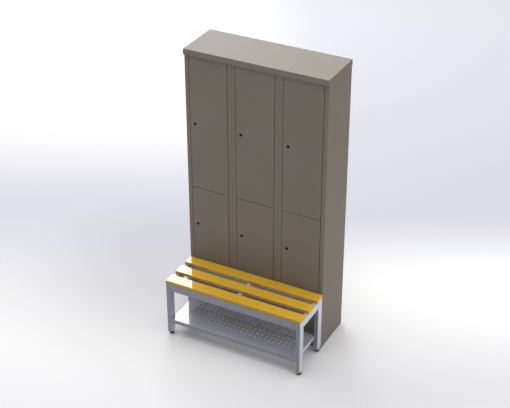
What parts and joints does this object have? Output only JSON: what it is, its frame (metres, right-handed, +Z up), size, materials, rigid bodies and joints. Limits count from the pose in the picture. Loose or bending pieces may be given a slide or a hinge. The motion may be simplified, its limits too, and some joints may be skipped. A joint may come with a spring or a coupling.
{
  "type": "locker with bench",
  "caption": "Steel clothes locker with hinged doors over and under each other, and a slatted bench with a perforated shoe shelf fixed to its front",
  "frame": {"origin": "On the floor, under the middle of the whole object's box, in the plane where the bench meets the locker's front.", "axes": "X runs along the front from left to right, Y from the front to the rear, Z up."},
  "size_m": [0.904, 0.6, 1.8],
  "materials": {
    "body_paint": "textured powder coat, warm grey, satin",
    "bench_paint": "smooth powder coat, light grey, semi-gloss",
    "slat_wood": "clear lacquered softwood, honey yellow",
    "zinc": "bright zinc plate",
    "lock_black": "black coated zinc casting",
    "black_plastic": "moulded, matt"
  },
  "bodies": {
    "frame": {"side_wall_1_left": "body_paint", "side_wall_1_right": "body_paint", "side_wall_2_left": "body_paint", "side_wall_2_right": "body_paint", "side_wall_3_left": "body_paint", "side_wall_3_right": "body_paint", "back_panels": "body_paint", "base_pans": "body_paint", "plinth_panels": "body_paint", "head_rails": "body_paint", "lower_floors": "body_paint", "middle_shelves": "body_paint", "hat_shelves": "body_paint", "top_cap": "body_paint", "end_frame_left": "bench_paint", "end_frame_right": "bench_paint", "front_rail": "bench_paint", "rear_rail": "bench_paint", "cross_tube": "bench_paint", "shoe_shelf": "bench_paint", "slat_front": "slat_wood", "slat_middle": "slat_wood", "slat_rear": "slat_wood", "coat_rails": "zinc", "rail_sockets": "zinc", "hinge_tabs": "zinc", "hinge_pins": "zinc", "slat_screws": "zinc", "joining_bolts": "zinc", "joining_nuts": "zinc", "leg_inserts": "black_plastic"},
    "door_upper_1": {"door_upper_1": "body_paint", "lock_barrel_upper_1": "lock_black"},
    "plug_upper_1": {"lock_plug_upper_1": "lock_black", "lock_cam_upper_1": "zinc"},
    "door_upper_2": {"door_upper_2": "body_paint", "lock_barrel_upper_2": "lock_black"},
    "plug_upper_2": {"lock_plug_upper_2": "lock_black", "lock_cam_upper_2": "zinc"},
    "door_upper_3": {"door_upper_3": "body_paint", "lock_barrel_upper_3": "lock_black"},
    "plug_upper_3": {"lock_plug_upper_3": "lock_black", "lock_cam_upper_3": "zinc"},
    "door_lower_1": {"door_lower_1": "body_paint", "lock_barrel_lower_1": "lock_black"},
    "plug_lower_1": {"lock_plug_lower_1": "lock_black", "lock_cam_lower_1": "zinc"},
    "door_lower_2": {"door_lower_2": "body_paint", "lock_barrel_lower_2": "lock_black"},
    "plug_lower_2": {"lock_plug_lower_2": "lock_black", "lock_cam_lower_2": "zinc"},
    "door_lower_3": {"door_lower_3": "body_paint", "lock_barrel_lower_3": "lock_black"},
    "plug_lower_3": {"lock_plug_lower_3": "lock_black", "lock_cam_lower_3": "zinc"},
    "foot_front_left": {"foot_front_left": "black_plastic"},
    "foot_front_right": {"foot_front_right": "black_plastic"},
    "foot_rear_left": {"foot_rear_left": "black_plastic"},
    "foot_rear_right": {"foot_rear_right": "black_plastic"}
  },
  "joints": [
    {"name": "door_upper_1_hinge", "type": "hinge", "parent": "frame", "child": "door_upper_1", "pos_m": [-0.186, 0.006, 1.335], "axis": [0, 0, 1], "range_deg": [0, 110]},
    {"name": "lock_upper_1_turn", "type": "hinge", "parent": "door_upper_1", "child": "plug_upper_1", "pos_m": [-0.39, 0, 1.335], "axis": [0, 1, 0], "range_deg": [0, 90]},
    {"name": "door_upper_2_hinge", "type": "hinge", "parent": "frame", "child": "door_upper_2", "pos_m": [0.114, 0.006, 1.335], "axis": [0, 0, 1], "range_deg": [0, 110]},
    {"name": "lock_upper_2_turn", "type": "hinge", "parent": "door_upper_2", "child": "plug_upper_2", "pos_m": [-0.09, 0, 1.335], "axis": [0, 1, 0], "range_deg": [0, 90]},
    {"name": "door_upper_3_hinge", "type": "hinge", "parent": "frame", "child": "door_upper_3", "pos_m": [0.414, 0.006, 1.335], "axis": [0, 0, 1], "range_deg": [0, 110]},
    {"name": "lock_upper_3_turn", "type": "hinge", "parent": "door_upper_3", "child": "plug_upper_3", "pos_m": [0.21, 0, 1.335], "axis": [0, 1, 0], "range_deg": [0, 90]},
    {"name": "door_lower_1_hinge", "type": "hinge", "parent": "frame", "child": "door_lower_1", "pos_m": [-0.186, 0.006, 0.655], "axis": [0, 0, 1], "range_deg": [0, 110]},
    {"name": "lock_lower_1_turn", "type": "hinge", "parent": "door_lower_1", "child": "plug_lower_1", "pos_m": [-0.39, 0, 0.655], "axis": [0, 1, 0], "range_deg": [0, 90]},
    {"name": "door_lower_2_hinge", "type": "hinge", "parent": "frame", "child": "door_lower_2", "pos_m": [0.114, 0.006, 0.655], "axis": [0, 0, 1], "range_deg": [0, 110]},
    {"name": "lock_lower_2_turn", "type": "hinge", "parent": "door_lower_2", "child": "plug_lower_2", "pos_m": [-0.09, 0, 0.655], "axis": [0, 1, 0], "range_deg": [0, 90]},
    {"name": "door_lower_3_hinge", "type": "hinge", "parent": "frame", "child": "door_lower_3", "pos_m": [0.414, 0.006, 0.655], "axis": [0, 0, 1], "range_deg": [0, 110]},
    {"name": "lock_lower_3_turn", "type": "hinge", "parent": "door_lower_3", "child": "plug_lower_3", "pos_m": [0.21, 0, 0.655], "axis": [0, 1, 0], "range_deg": [0, 90]},
    {"name": "foot_front_left_height", "type": "slide", "parent": "frame", "child": "foot_front_left", "axis": [0, 0, -1], "range_m": [0, 0.015]},
    {"name": "foot_front_right_height", "type": "slide", "parent": "frame", "child": "foot_front_right", "axis": [0, 0, -1], "range_m": [0, 0.015]},
    {"name": "foot_rear_left_height", "type": "slide", "parent": "frame", "child": "foot_rear_left", "axis": [0, 0, -1], "range_m": [0, 0.015]},
    {"name": "foot_rear_right_height", "type": "slide", "parent": "frame", "child": "foot_rear_right", "axis": [0, 0, -1], "range_m": [0, 0.015]}
  ]
}
